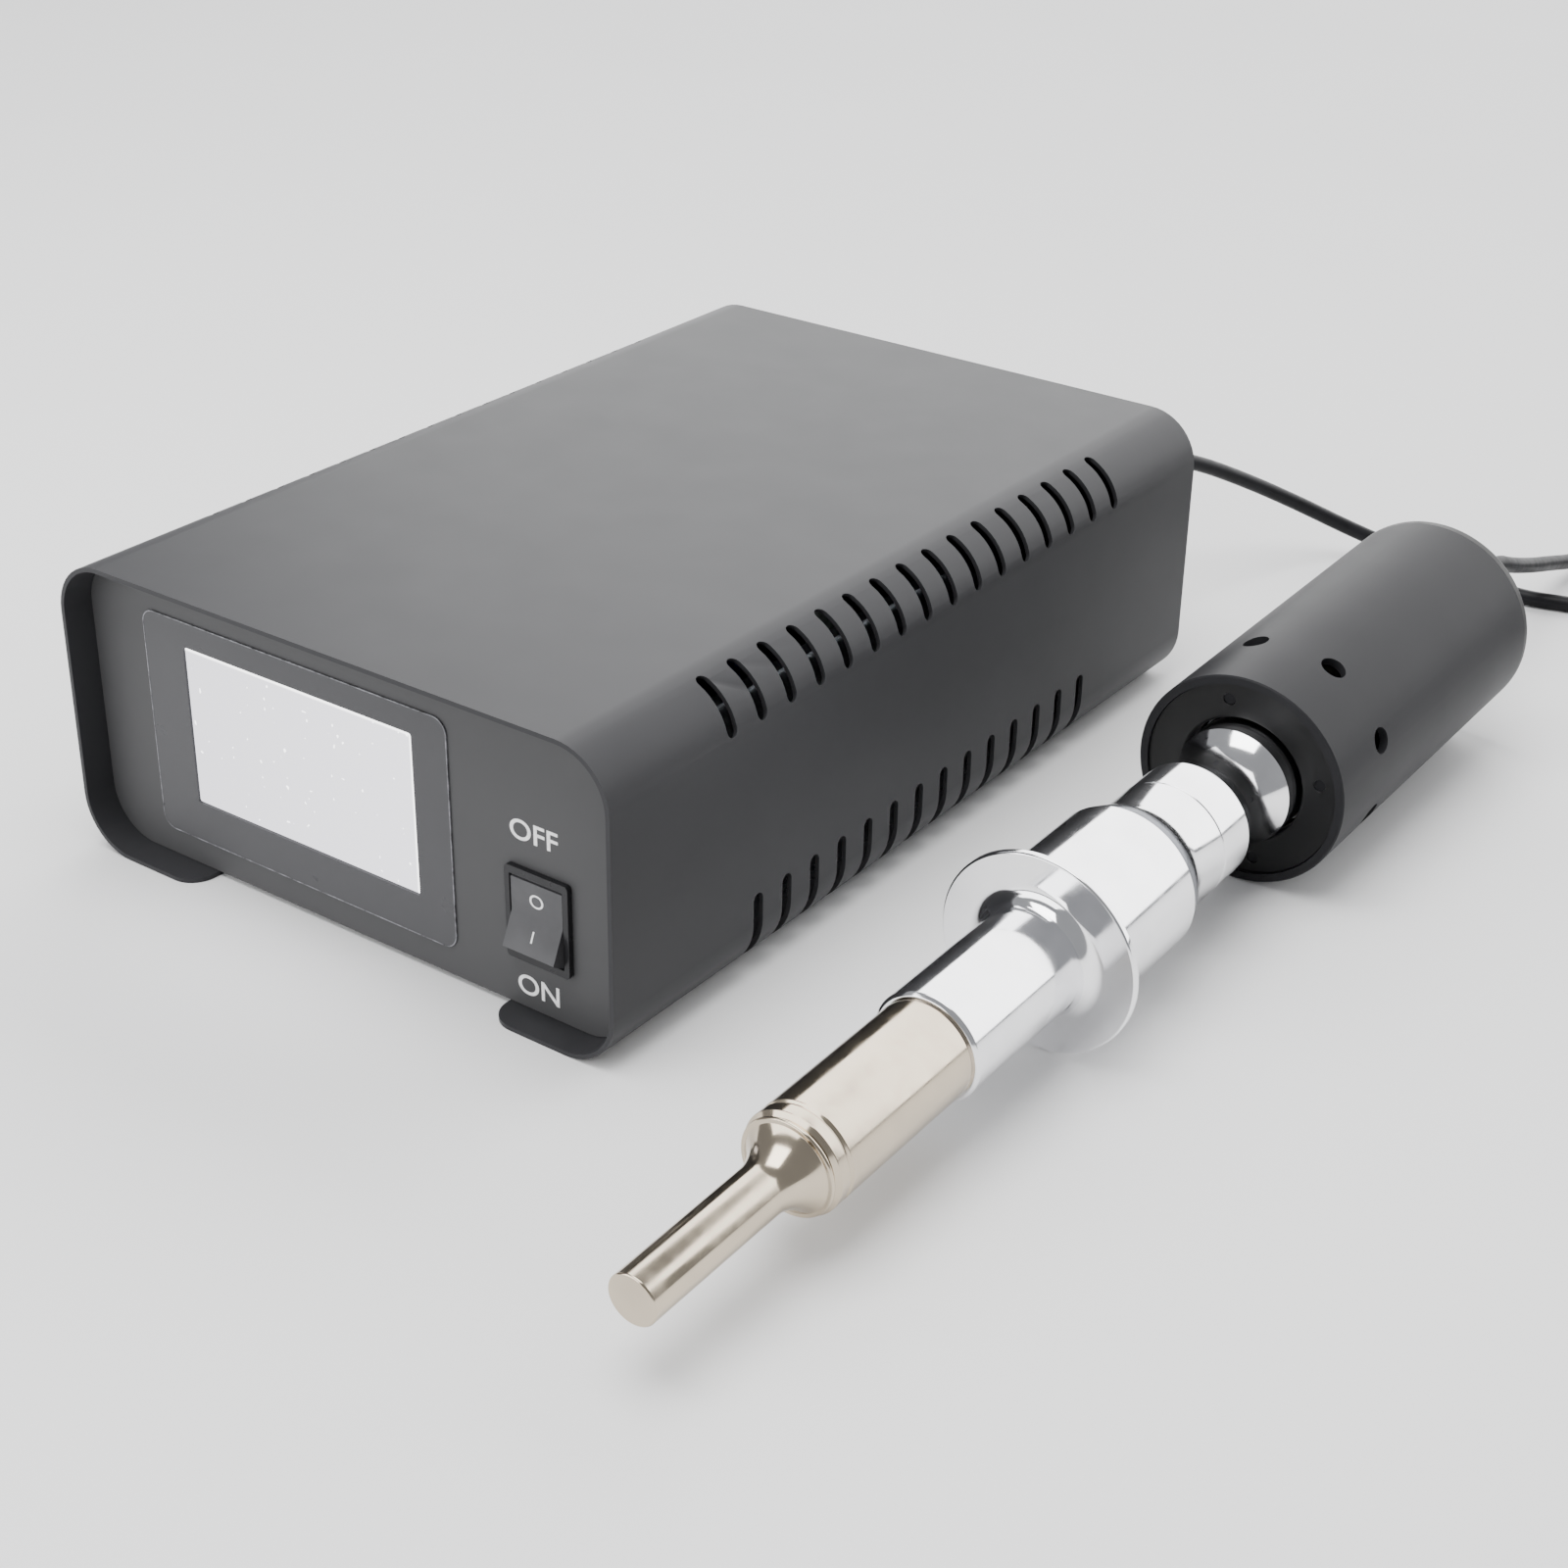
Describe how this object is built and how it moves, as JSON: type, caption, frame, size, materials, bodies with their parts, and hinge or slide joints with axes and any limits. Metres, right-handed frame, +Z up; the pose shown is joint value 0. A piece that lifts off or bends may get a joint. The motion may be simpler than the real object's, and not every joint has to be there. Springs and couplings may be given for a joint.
{
  "type": "ultrasonic processor",
  "caption": "Benchtop ultrasonic processor: a generator with a display and rocker switch, and a cabled probe with housing, booster and titanium horn lying beside it.",
  "frame": {"origin": "on the table, under the middle of the generator and probe without the cable", "axes": "+Z up, +Y from the generator's front to its rear and along the probe from its tip, +X from the generator to the probe"},
  "size_m": [0.414, 0.6669, 0.1025],
  "materials": {
    "cover_paint": "fine-textured dark grey powder coat",
    "panel_paint": "satin grey powder coat",
    "zinc_steel": "zinc-plated steel",
    "screw_steel": "blackened steel",
    "black_plastic": "moulded black plastic",
    "switch_black": "smooth black plastic",
    "screen": "backlit display glass",
    "clear_film": "clear adhesive film",
    "circuit_board": "solder-masked board",
    "spacer_nylon": "natural nylon",
    "contact_brass": "plated brass",
    "fuse_glass": "glass tube fuse",
    "sink_aluminium": "extruded, natural",
    "component_black": "moulded component cases",
    "ferrite": null,
    "winding_copper": "enamelled copper winding",
    "capacitor_sleeve": "sleeved aluminium cans",
    "housing_paint": "fine-textured dark grey powder coat on a steel tube",
    "cap_black": "black anodised",
    "polished_aluminium": "turned and polished",
    "dark_aluminium": "turned aluminium",
    "titanium": "machined titanium alloy",
    "piezo_ceramic": null,
    "electrode_bronze": "sprung bronze sheet",
    "rubber_black": "rubber",
    "cable_jacket": "flexible PVC jacket"
  },
  "bodies": {
    "processor": {"back_mass": "zinc_steel", "board_spacers": "spacer_nylon", "booster": "polished_aluminium", "booster_stud": "zinc_steel", "bridge_rectifier": "component_black", "cable_coil": "cable_jacket", "cable_generator_run": "cable_jacket", "cable_probe_run": "cable_jacket", "chassis_tray": "zinc_steel", "clamp_bolt": "screw_steel", "clamp_ring": "dark_aluminium", "cover": "cover_paint", "cover_screws": "screw_steel", "display_board": "circuit_board", "display_overlay": "clear_film", "display_spacers": "spacer_nylon", "electrodes": "electrode_bronze", "fan_frame": "black_plastic", "fan_guard": "zinc_steel", "fan_screws": "screw_steel", "front_cap_screws": "screw_steel", "front_driver": "polished_aluminium", "front_panel": "panel_paint", "generator_gland": "black_plastic", "gland_locknut": "black_plastic", "heat_sink_left": "sink_aluminium", "heat_sink_right": "sink_aluminium", "horn_stud": "zinc_steel", "inlet_pins": "contact_brass", "inlet_screws": "screw_steel", "line_filter": "component_black", "mains_inlet": "black_plastic", "panel_screws": "zinc_steel", "piezo_ring_1": "piezo_ceramic", "piezo_ring_2": "piezo_ceramic", "piezo_ring_3": "piezo_ceramic", "piezo_ring_4": "piezo_ceramic", "power_board": "circuit_board", "power_transistors": "component_black", "probe_front_cap": "cap_black", "probe_gland": "black_plastic", "probe_housing": "housing_paint", "probe_rear_cap": "cap_black", "rear_cap_screws": "screw_steel", "rear_panel": "panel_paint", "sealing_rings": "rubber_black", "smoothing_capacitors": "capacitor_sleeve", "switch_body": "switch_black", "switch_terminals": "contact_brass", "tie_pillars": "zinc_steel", "titanium_horn": "titanium", "touch_screen": "screen", "transformer_core": "ferrite", "transformer_winding": "winding_copper", "tuning_inductor": "winding_copper"},
    "power_rocker": {"switch_paddle": "switch_black"},
    "cooling_fan": {"fan_rotor": "black_plastic"},
    "fuse_holder": {"fuse_drawer": "black_plastic", "fuse": "fuse_glass"}
  },
  "joints": [
    {"name": "rocker_tilt", "type": "hinge", "parent": "processor", "child": "power_rocker", "pos_m": [0.0145, -0.13083, 0.0345], "axis": [1, 0, 0], "range_deg": [0, 24]},
    {"name": "fan_spin", "type": "hinge", "parent": "processor", "child": "cooling_fan", "pos_m": [-0.11, 0.15927, 0.05125], "axis": [0, 1, 0], "continuous": true},
    {"name": "fuse_drawer_slide", "type": "slide", "parent": "processor", "child": "fuse_holder", "axis": [0, 1, 0], "range_m": [0, 0.015]}
  ]
}
